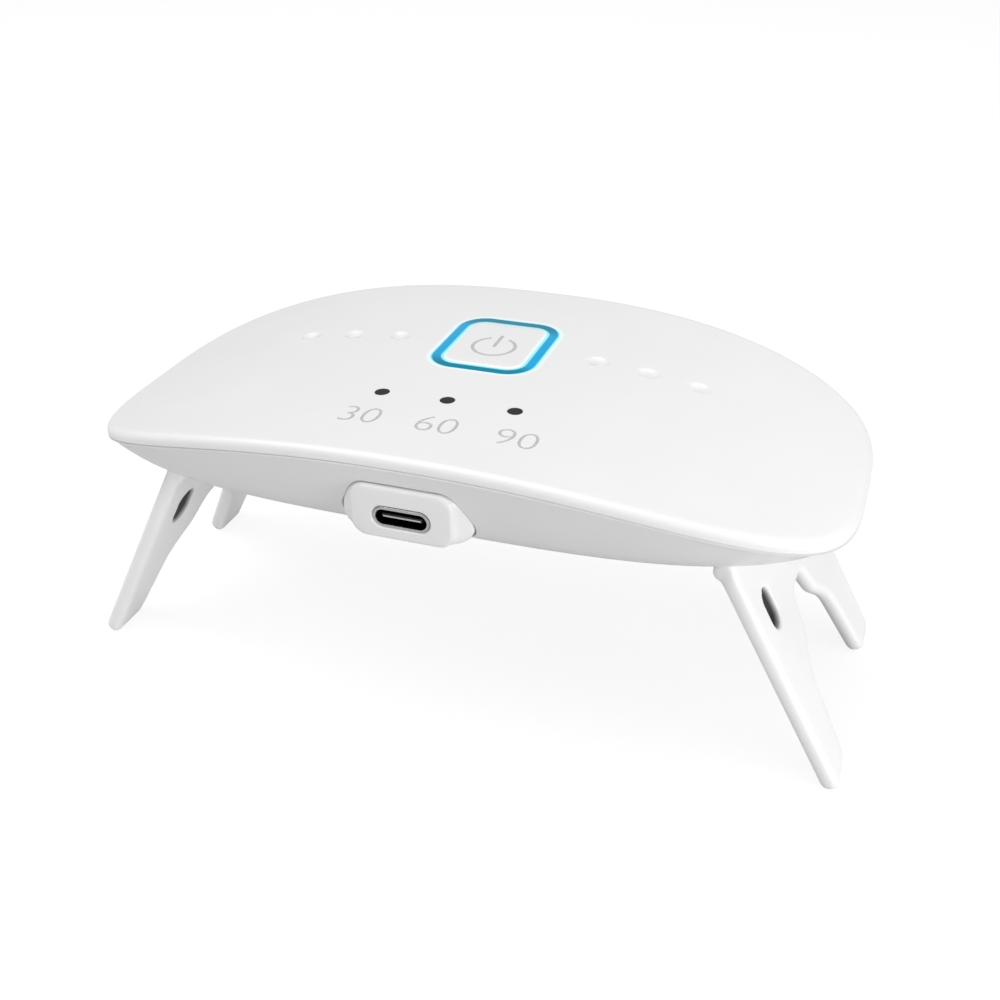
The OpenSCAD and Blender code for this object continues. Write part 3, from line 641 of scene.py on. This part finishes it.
# Each step is a depth behind the face, a share of the flare, and how far the edge is rolled in.
face_steps = []
for a in range(ROLL_STEPS, -1, -1):
    turn = a * pi / 2 / ROLL_STEPS
    face_steps.append((FACE_ROLL * (1 - sin(turn)), 0, FACE_ROLL * (1 - cos(turn))))
flare_steps = []
for i in range(1, FLARE_STEPS + 1):
    way = i / FLARE_STEPS
    curve = STEEPNESS * (1 - cos(pi * way)) / 2 + (1 - STEEPNESS) * way
    flare_steps.append((FACE_ROLL + (FLARE_T - FACE_ROLL) * way, curve, 0))
bm = bmesh.new()
collar_loops(bm, 0, face_steps + flare_steps + [(COLLAR_T, 1, 0)])
collar = solid(bm, "collar")

notch_steps = [(-0.5, 0, 0), (FACE_ROLL, 0, 0)] + flare_steps + [(COLLAR_T + SIDE_GAP, 1, 0)]
bm = bmesh.new()
collar_loops(bm, COLLAR_GAP, notch_steps)
notch = solid(bm, "notch")
print("collar blank,", len(collar.data.polygons), "faces, and the notch that it sits in")

# %% [markdown]
# ## The socket
# A USB-C socket is a stadium-shaped steel shell with a thin tongue inside. The stadium is a circle
# whose halves are drawn apart, so its ends stay truly round. The same bar, grown or flared, makes
# the shell, its mouth, the hole in the collar and that hole's chamfer. Behind its bright mouth the
# plated tube is in shade, so its tone falls off with depth.

# %% Socket shell
MOUTH_W, MOUTH_H, SHELL_T, SHELL_L, SHELL_BACK_T = 8.34, 2.56, 0.45, 7.35, 0.8
SHELL_FRONT = COLLAR_Y + 0.1
SHADE_FROM, SHADE_TO = (SHELL_FRONT + 0.1) * MM, (SHELL_FRONT + 0.6) * MM


def stadium(bm, grow, front, back, flare=0.0):
    """A round-ended bar along Y, wider by flare at its front."""
    w, h, steps = MOUTH_W + 2 * grow, MOUTH_H + 2 * grow, 48
    made = bmesh.ops.create_circle(bm, cap_ends=True, radius=h / 2, segments=steps)["verts"]
    bmesh.ops.rotate(bm, cent=(0, 0, 0), matrix=Matrix.Rotation(pi / steps, 3, "Z"), verts=made)
    for v in made:
        v.co.x += copysign((w - h) / 2, v.co.x)
    grown = bmesh.ops.extrude_face_region(bm, geom=[made[0].link_faces[0]])["geom"]
    far = [g for g in grown if isinstance(g, bmesh.types.BMVert)]
    bmesh.ops.translate(bm, vec=(0, 0, back - front), verts=far)
    bmesh.ops.scale(bm, vec=((w + 2 * flare) / w, (h + 2 * flare) / h, 1), verts=made)
    turned = Matrix.Translation((0, front, SOCKET_Z)) @ Matrix.Rotation(radians(-90), 4, "X")
    bmesh.ops.transform(bm, matrix=turned, verts=made + far)


def shade_with(material, factor, tone):
    """Draw a material's colour towards a darker tone where factor rises to 1."""
    tree = material.node_tree
    base_colour = tree.nodes["Principled BSDF"].inputs["Base Color"]
    own = base_colour.links[0].from_socket
    tree.links.new(blend(tree, factor, own, linear(tone)), base_colour)


bm = bmesh.new()
stadium(bm, SHELL_T, SHELL_FRONT, SHELL_FRONT + SHELL_L)
rim = [e for e in bm.edges if all(abs(v.co.y - SHELL_FRONT) < 1e-4 for v in e.verts)]
bevel_edges(bm, rim, 0.15, 3)
shell = solid(bm, "socket_shell")
bm = bmesh.new()
stadium(bm, 0, SHELL_FRONT - 1, SHELL_FRONT + SHELL_L - SHELL_BACK_T)
combine(shell, solid(bm, "mouth"))
tree = socket_nickel.node_tree
depth = add(tree, "ShaderNodeSeparateXYZ", {"Vector": object_place(tree)}).outputs["Y"]
shade_with(socket_nickel, ramp(tree, depth, SHADE_FROM, SHADE_TO), "#0B0B0C")
dress(shell, socket_nickel, "housing", ["usb_shell"])

# %% [markdown]
# The tongue is black plastic, moulded round a steel plate whose edge shows as a bright line. Two
# blocks with softened edges are enough for it, as only its front is seen.

# %% Tongue
TONGUE_W, TONGUE_T, TONGUE_FRONT = MOUTH_W - 1.7, 0.7, SHELL_FRONT + 0.5
TONGUE_L = SHELL_L - SHELL_BACK_T - 0.5 - SEAT_GAP
PLATE_W, PLATE_T = TONGUE_W - 0.5, 0.3
bm = bmesh.new()
soft_block(bm, (TONGUE_W, TONGUE_L, TONGUE_T), (0, TONGUE_FRONT + TONGUE_L / 2, SOCKET_Z), 0.2, 4)
dress(solid(bm, "socket_tongue"), tongue_black, "housing", ["usb_tongue"])
bm = bmesh.new()
soft_block(bm, (PLATE_W, PLATE_T, PLATE_T), (0, TONGUE_FRONT, SOCKET_Z), 0.06, 2)
dress(solid(bm, "tongue_mid_plate"), mid_plate_steel, "housing")

# %% [markdown]
# The collar's hole follows the shell with a hair's gap, and opens in a small chamfer that leads
# the plug in. It is cut from the stadium bar, once straight and once flared.

# %% Hole in the collar
CHAMFER = 0.5
bm = bmesh.new()
stadium(bm, SHELL_T + SEAT_GAP, COLLAR_Y - 3, COLLAR_Y + COLLAR_T + 3)
combine(collar, solid(bm, "socket_hole"))
bm = bmesh.new()
stadium(bm, SHELL_T + SEAT_GAP, COLLAR_Y - 0.3, COLLAR_Y + 0.3, flare=CHAMFER)
combine(collar, solid(bm, "hole_chamfer"))
dress(collar, collar_abs, "housing", ["port_surround"])

# %% [markdown]
# The base is open where other parts come through: the light window in its underside, the notch for
# the collar, room for the socket, and a recess with a hole for each case screw. All but the notch
# are one cutter, because one exact boolean is quicker than many.

# %% Openings of the base
WINDOW_W, WINDOW_D, WINDOW_Y, WINDOW_R = 62, 34, 3, 4
CASE_X, CASE_PITCH, HEAD_H, HEAD_R, SCREW_R = 40, 28, 1.1, 1.9, 1
combine(base, notch)
bm = bmesh.new()
plate(bm, WINDOW_W, WINDOW_D, WINDOW_R, BASE_Z - 1, FLOOR_Z + 1, (0, WINDOW_Y))
stadium(bm, SHELL_T + SIDE_GAP, COLLAR_Y + COLLAR_T, SHELL_FRONT + SHELL_L + SIDE_GAP)
for x in (-CASE_X, CASE_X):
    for y in (-CASE_PITCH / 2, CASE_PITCH / 2):
        for radius, low, high in ((HEAD_R + 0.2, -1, HEAD_H + 0.6), (SCREW_R + 0.2, HEAD_H, 4)):
            round_bar(bm, radius, high - low, Matrix.Translation((x, y, BASE_Z + (low + high) / 2)))
combine(base, solid(bm, "base_cutter"))
print("base openings cut,", len(base.data.polygons), "faces")

# %% [markdown]
# ## The hinge lugs
# A lug hangs from each side of the base and carries the pin of its leg frame. It is a block that
# ends in a half cylinder round the pin: a circle is extruded, and its upper half is drawn up into
# the base. A union joins it on, as the two are one moulding.

# %% Hinge lugs
HINGE_X, HINGE_Y, HINGE_Z, LUG_W, LUG_R, LUG_ROOT = 46.5958, -1.5, 37, 17.4, 1.75, 0.8
ALONG_Y = Matrix.Rotation(pi / 2, 4, "X")  # lays an upright bar along Y
for side in (-1, 1):
    bm = bmesh.new()
    bmesh.ops.create_circle(bm, cap_ends=True, radius=LUG_R, segments=48)
    for v in bm.verts:
        if v.co.y > -1e-6:
            v.co.x = LUG_R if v.co.x > 0 else -LUG_R
            v.co.y = BASE_Z + LUG_ROOT - HINGE_Z if abs(v.co.y) > 1e-3 else 0
    bmesh.ops.remove_doubles(bm, verts=bm.verts, dist=1e-4)
    grown = bmesh.ops.extrude_face_region(bm, geom=bm.faces[:])["geom"]
    far = [g for g in grown if isinstance(g, bmesh.types.BMVert)]
    bmesh.ops.translate(bm, vec=(0, 0, LUG_W), verts=far)
    stand = Matrix.Translation((side * HINGE_X, HINGE_Y + LUG_W / 2, HINGE_Z))
    bmesh.ops.transform(bm, matrix=stand @ ALONG_Y, verts=bm.verts)
    combine(base, solid(bm, "lug"), "UNION")
dress(base, base_abs, "housing", ["base_shell"])

# %% [markdown]
# ## The button
# The cap is a polished plate with a soft edge and a very slight dome. Insets of its top face, each
# lifted a little less than the one before, roll the edge over. A flange below keeps the real cap
# from falling out, and a stem presses the switch.

# %% Button cap
BAND_W, CAP_GAP, CAP_FLANGE, CAP_FLANGE_T, FLANGE_PLAY = 2, 0.25, 0.8, 0.8, 0.1
RING_STEP, CAP_TOP, STEM_FOOT, STEM_R = CROWN - 3.1, CROWN + 0.1, 49.35, 1.7
CAP_EDGE = BAND_W + CAP_GAP
CAP_W, CAP_D, CAP_R = RING_W - 2 * CAP_EDGE, RING_D - 2 * CAP_EDGE, RING_R - CAP_EDGE
ROLLED = 0.15  # height of the rolled edge
ROLL_INSETS = ((0.12, 0.07), (0.2, 0.045), (0.35, 0.03), (0.8, 0.005))
flange_top = RING_STEP - SEAT_GAP

bm = bmesh.new()
top = plate(bm, CAP_W, CAP_D, CAP_R, flange_top - 0.01, CAP_TOP - ROLLED, (0, RING_Y), segments=12)
for inset, lift in ROLL_INSETS:
    bmesh.ops.inset_region(bm, faces=[top], thickness=inset, use_even_offset=True)
    bmesh.ops.translate(bm, vec=(0, 0, lift), verts=top.verts)
cap = solid(bm, "cap")
bm = bmesh.new()
w, d = (size + 2 * CAP_FLANGE - FLANGE_PLAY for size in (CAP_W, CAP_D))
plate(bm, w, d, CAP_R + CAP_FLANGE, flange_top - CAP_FLANGE_T, flange_top, (0, RING_Y))
combine(cap, solid(bm, "cap_flange"), "UNION")
bm = bmesh.new()
stem_top = flange_top - 0.3  # inside the flange, so that the union has something to join
stem_place = Matrix.Translation((0, BUTTON_Y, (stem_top + STEM_FOOT) / 2))
round_bar(bm, STEM_R, stem_top - STEM_FOOT, stem_place)
combine(cap, solid(bm, "cap_stem"), "UNION")
print("cap without its sign,", len(cap.data.polygons), "faces")

# %% [markdown]
# The standby sign, an open ring and a bar, is a generic sign, kept from the photograph as a groove
# with a grey sheet in it as painted shade. One small square is spun round the middle to make the
# ring, so its line is equally wide everywhere. The same form cuts the groove and, a hair smaller in
# height, lies in it as that painted shade.

# %% Standby sign
SIGN_R, SIGN_LINE, SIGN_OPEN = 3.65, 0.62, radians(26)
BAR_L, BAR_Y, GROOVE_T, SIGN_SHADE_TOP = 5, 2.3, 0.2, -0.08


def sign(low, high):
    bm = bmesh.new()
    quad = bmesh.ops.create_grid(bm, x_segments=1, y_segments=1, size=0.5)["verts"]
    bmesh.ops.scale(bm, vec=(SIGN_LINE, high - low, 1), verts=quad)
    at_top = Matrix.Translation((0, SIGN_R, 0)) @ Matrix.Rotation(pi / 2, 4, "Z") @ ALONG_Y
    bmesh.ops.transform(bm, matrix=Matrix.Rotation(SIGN_OPEN, 4, "Z") @ at_top, verts=quad)
    bmesh.ops.spin(
        bm,
        geom=bm.verts[:] + bm.edges[:] + bm.faces[:],
        cent=(0, 0, 0),
        axis=(0, 0, 1),
        angle=2 * pi - 2 * SIGN_OPEN,
        steps=48,
    )
    bar = bmesh.ops.create_cube(bm, size=1)["verts"]
    bmesh.ops.scale(bm, vec=(SIGN_LINE, BAR_L, high - low), verts=bar)
    bmesh.ops.translate(bm, vec=(0, BAR_Y, 0), verts=bar)
    bmesh.ops.translate(bm, vec=(0, BUTTON_Y, CAP_TOP + (low + high) / 2), verts=bm.verts)
    return solid(bm, "standby_sign")


combine(cap, sign(-GROOVE_T, 0.3))
glow(button_abs, CAP_EDGE, -0.6, 0.25)
dress(cap, button_abs, "power_button", ["button_cap"])
# The grey sheet in the sign's groove is painted shade.
dress(sign(-GROOVE_T + LIFT_OFF, SIGN_SHADE_TOP), groove_shade_grey, "power_button")

# %% [markdown]
# ## The light ring
# The ring is a light guide of tinted acrylic, lit by four lamps below it. It is brightest over the
# sides and deeper in tone along the front and the back, with a pale line where the light leaks out
# at its edges.

# %% Lit acrylic
DEEPER_FROM, DEEPER_TO, LEAK_W, GUIDE_GLOW = 6.0 * MM, 9.6 * MM, 0.35 * MM, 0.22
guide, tree, shader = new_material("lit_acrylic_blue")
centred = vector_math(tree, "SUBTRACT", object_place(tree), (0, RING_Y * MM, 0))
folded = vector_math(tree, "ABSOLUTE", centred)
off_middle = add(tree, "ShaderNodeSeparateXYZ", {"Vector": folded}).outputs["Y"]
strip = ramp(tree, off_middle, DEEPER_FROM, DEEPER_TO, kind="SMOOTHSTEP")
tone = blend(tree, strip, linear("#009ACB"), linear("#00748F"))
leak_out = ramp(tree, ring_distance(tree, 0), -LEAK_W, 0)
leak_in = ramp(tree, ring_distance(tree, BAND_W), LEAK_W, 0)
lit = blend(tree, number_math(tree, "MAXIMUM", leak_out, leak_in), tone, linear("#A8F2FF"))
tree.links.new(lit, shader.inputs["Base Color"])
tree.links.new(lit, shader.inputs["Emission Color"])
shader.inputs["Emission Strength"].default_value = GUIDE_GLOW
shader.inputs["Roughness"].default_value = 0.15
shader.inputs["IOR"].default_value = 1.49
print(guide.name, "glows with a strength of", GUIDE_GLOW)

# %% [markdown]
# The guide is a tall frame round the cap: a thick band at the top, a thinner skirt that reaches down
# to the lamps, and a flange that holds it under the cover. All of them are plates with the ring's
# outline, drawn in or out. The band and the skirt are hollowed in two cuts, one after the other,
# because one cutter made of two plates that overlap would leave walls inside.


# %% Light guide
def ring_plate(name, edge, low, high, rim=None, segments=10):
    """A plate with the ring's outline drawn in by edge, its upper rim softened if asked."""
    bm = bmesh.new()
    width, depth, radius = RING_W - 2 * edge, RING_D - 2 * edge, RING_R - edge
    plate(bm, width, depth, radius, low, high, (0, RING_Y), segments)
    if rim:
        upper = [e for e in bm.edges if all(abs(v.co.z - high) < 1e-4 for v in e.verts)]
        bevel_edges(bm, upper, rim, 2)
    return solid(bm, name)


GUIDE_FOOT, GUIDE_TOP, GUIDE_RIM, SKIRT = CROWN - 6.9, CROWN - 0.1, 0.12, BAND_W - 1
FLANGE_OUT, FLANGE_IN, FLANGE_LOW, FLANGE_HIGH = -1.2, 0.5, RING_STEP, CROWN - COVER_T - 0.3
ring = ring_plate("light_guide", 0, GUIDE_FOOT, GUIDE_TOP, GUIDE_RIM, 16)
combine(ring, ring_plate("band_hollow", BAND_W, RING_STEP - 1, CROWN + 1, segments=16))
combine(ring, ring_plate("skirt_hollow", SKIRT, CROWN - 8, RING_STEP, segments=16))
flange = ring_plate("guide_flange", FLANGE_OUT, FLANGE_LOW, FLANGE_HIGH)
combine(flange, ring_plate("flange_hole", FLANGE_IN, FLANGE_LOW - 1, FLANGE_HIGH + 1))
combine(ring, flange, "UNION")
dress(ring, guide, "housing", ["light_ring"])

# %% [markdown]
# ## The leg frames
# Each prong of a frame has a slot through it, and the plastic inside a slot lies in deep shade. The
# material carries that shade. The leg's own axes are found from the place, mirrored onto the right
# leg: across is the way through the frame, and down is the way along its prong. A place that is
# inside a slot's outline darkens with its depth.

# %% Shade inside the slots
SPLAY, OUTER_FACE, SHADE_DEPTH = radians(28), 1.7, 0.4
SLOT_W, SLOT_L, SLOT_Y, SLOT_DROP = 4, 7, 15.6, 11.5
LINE_FROM, LINE_TO = SLOT_W / 2 + 0.7, SLOT_W / 2 + 0.3

tree = leg_abs.node_tree
centred = vector_math(tree, "SUBTRACT", object_place(tree), (0, HINGE_Y * MM, 0))
folded = vector_math(tree, "ABSOLUTE", centred)
local = vector_math(tree, "SUBTRACT", folded, (HINGE_X * MM, SLOT_Y * MM, HINGE_Z * MM))
across = vector_math(tree, "DOT_PRODUCT", local, (cos(SPLAY), 0, sin(SPLAY)))
down = vector_math(tree, "DOT_PRODUCT", local, (-sin(SPLAY), 0, cos(SPLAY)))
beside = add(tree, "ShaderNodeSeparateXYZ", {"Vector": local}).outputs["Y"]
off_middle = number_math(tree, "ABSOLUTE", number_math(tree, "ADD", down, SLOT_DROP * MM))
off_end = number_math(tree, "SUBTRACT", off_middle, (SLOT_L - SLOT_W) / 2 * MM)
off_end = number_math(tree, "MAXIMUM", off_end, 0)
corner = add(tree, "ShaderNodeCombineXYZ", {"X": beside, "Y": off_end}).outputs["Vector"]
inside = ramp(tree, vector_math(tree, "LENGTH", corner), LINE_FROM * MM, LINE_TO * MM)
depth = number_math(tree, "ABSOLUTE", across)
deep = ramp(tree, depth, OUTER_FACE * MM, SHADE_DEPTH * MM, kind="SMOOTHSTEP")
shade_with(leg_abs, number_math(tree, "MULTIPLY", inside, deep), "#4A4A4C")
print(leg_abs.name, "darkens inside slots of", SLOT_W, "by", SLOT_L, "mm")

# %% [markdown]
# The CAD frames have the right form, but their edges are made of facets, and a stop stands out at
# the top that the photograph doesn't show. A copy of each frame loses that stop beyond its outer
# face. A fine voxel remesh then turns it into even quads, and a little smoothing rounds every edge
# alike, round the slots too, as the mould does. The bore of the pin is too fine for the voxels, so
# it is cut afresh at the end.

# %% Leg frames
VOXEL, SOFTEN_STEPS, BORE_R, BORE_L = 0.3, 18, 0.86, 41.1
STOP_Y, STOP_BOX = -3, (60, 16, 10)
in_leg_plane = (
    Matrix.Translation((HINGE_X, HINGE_Y, HINGE_Z))
    @ Matrix.Rotation(-SPLAY, 4, "Y")
    @ Matrix.Rotation(pi / 2, 4, "Z")
    @ Matrix.Rotation(pi / 2, 4, "X")
)
half_turn = Matrix.Translation((0, 2 * HINGE_Y, 0)) @ Matrix.Rotation(pi, 4, "Z")
for name, side, place in (
    ("left_leg", -1, half_turn @ in_leg_plane),
    ("right_leg", 1, in_leg_plane),
):
    bm = bmesh.new()
    bm.from_mesh(nodes[name].data)
    bmesh.ops.scale(bm, vec=(1 / MM, 1 / MM, 1 / MM), verts=bm.verts)
    leg = solid(bm, name + "_moulded")
    bm = bmesh.new()
    box = bmesh.ops.create_cube(bm, size=1)["verts"]
    bmesh.ops.scale(bm, vec=STOP_BOX, verts=box)
    bmesh.ops.translate(bm, vec=(0, STOP_Y, OUTER_FACE + STOP_BOX[2] / 2), verts=box)
    bmesh.ops.transform(bm, matrix=place, verts=box)
    combine(leg, solid(bm, "stop_cutter"))
    voxels = leg.modifiers.new("voxels", "REMESH")
    voxels.mode = "VOXEL"
    voxels.voxel_size = VOXEL
    soften = leg.modifiers.new("soften", "SMOOTH")
    soften.factor = 0.5
    soften.iterations = SOFTEN_STEPS
    apply_modifiers(leg)
    bm = bmesh.new()
    pin = Matrix.Translation((side * HINGE_X, HINGE_Y, HINGE_Z)) @ ALONG_Y
    round_bar(bm, BORE_R, BORE_L, pin, segments=48)
    combine(leg, solid(bm, "bore_cutter"))
    dress(leg, leg_abs, name + "_frame", [name])

# %% [markdown]
# ## Finishes of the other parts
# What is left are parts whose CAD form is right: lenses, boards, chips, screws and pins. Each gets
# the finish of its material.

# %% Finishes
finishes = {
    "timer_lens_1": lens_smoke,
    "timer_lens_2": lens_smoke,
    "timer_lens_3": lens_smoke,
    "switch_plunger": switch_grey,
    "tact_switch": switch_black,
    "control_board": board_green,
    "driver_chip": chip_black,
    "inductor": chip_black,
    "capacitors": capacitor_tan,
    "ring_leds": led_ceramic,
    "timer_leds": led_ceramic,
    "board_link": switch_black,
    "led_board": board_white,
    "uv_leds": led_ceramic,
    "uv_domes": dome_clear,
    "reflector_tray": reflector_coat,
    "board_screws": screw_zinc,
    "case_screws": screw_zinc,
    "left_hinge_pin": pin_steel,
    "right_hinge_pin": pin_steel,
}
for name, material in finishes.items():
    slots = nodes[name].data.materials
    slots.clear()
    slots.append(material)
print(len(finishes), "CAD parts have a finish")

# %% [markdown]
# ## Stage and light
# The photograph is a product shot on white: soft light from above, faint shadows at the feet, and a
# front that is a shade darker than the top. Matte paper on the floor catches the shadows. To the
# camera it is as good as white, since it glows a little. To the lamp it is a plain pale grey, so the
# light that it throws back up is that of real paper.

# %% Floor
FLOOR_R, PAPER_GLOW = 4, 0.84  # the radius is in metres
bm = bmesh.new()
bmesh.ops.create_circle(bm, cap_ends=True, radius=FLOOR_R, segments=64)
mesh = bpy.data.meshes.new("floor")
bm.to_mesh(mesh)
bm.free()
floor = bpy.data.objects.new("floor", mesh)
bpy.context.collection.objects.link(floor)
paper, tree, shader = new_material("matte_paper_white")
shader.inputs["Base Color"].default_value = linear("#848484")
shader.inputs["Roughness"].default_value = 0.9
shader.inputs["Specular IOR Level"].default_value = 0
shader.inputs["Emission Color"].default_value = linear("#FFFFFF")
shader.inputs["Emission Strength"].default_value = PAPER_GLOW
floor.data.materials.append(paper)


def camera_sees(tree, other, seen):
    """One shader for what the camera sees directly, and another for all other light."""
    by_camera = add(tree, "ShaderNodeLightPath").outputs["Is Camera Ray"]
    sockets = {0: by_camera, 1: other.outputs[0], 2: seen.outputs[0]}
    return add(tree, "ShaderNodeMixShader", sockets).outputs[0]


bounce = add(tree, "ShaderNodeBsdfDiffuse", {"Color": linear("#D6D6D6")})
surface = tree.nodes["Material Output"].inputs["Surface"]
tree.links.new(camera_sees(tree, bounce, shader), surface)
print("floor of", FLOOR_R, "m radius in", paper.name)

# %% [markdown]
# The world is white to the camera and a dim fill to the lamp. Three soft boxes do the rest, because
# broad lights give gloss something to mirror and shadows a soft edge: a large one above and to the
# left, a small low one at the right that lights the right end and the leg, and a weak one in front.

# %% Lights
FILL = 0.36
world = bpy.data.worlds.new("studio")
bpy.context.scene.world = world
world.use_nodes = True
tree = world.node_tree
tree.nodes.clear()
white = linear("#FFFFFF")
seen = add(tree, "ShaderNodeBackground", {"Color": white, "Strength": 1})
fill = add(tree, "ShaderNodeBackground", {"Color": white, "Strength": FILL})
add(tree, "ShaderNodeOutputWorld", {"Surface": camera_sees(tree, fill, seen)})


def soft_box(name, place, watts, width, height):
    """A rectangular light that faces the lamp. Its place and sizes are in metres."""
    light = bpy.data.lights.new(name, "AREA")
    light.energy = watts
    light.shape = "RECTANGLE"
    light.size = width
    light.size_y = height
    box = bpy.data.objects.new(name, light)
    bpy.context.collection.objects.link(box)
    box.location = place
    box.rotation_euler = (TARGET - Vector(place)).to_track_quat("-Z", "Y").to_euler()
    print(name, "of", watts, "W")


soft_box("side_box", (0.64, -0.12, 0.08), 2.3, 0.4, 0.16)
soft_box("front_box", (0.05, -0.65, 0.12), 0.33, 0.6, 0.16)
soft_box("top_box", (-0.22, -0.12, 0.8), 5.9, 0.9, 0.9)

# %% Materials in all, and the end
print(len(bpy.data.materials), "materials in all")
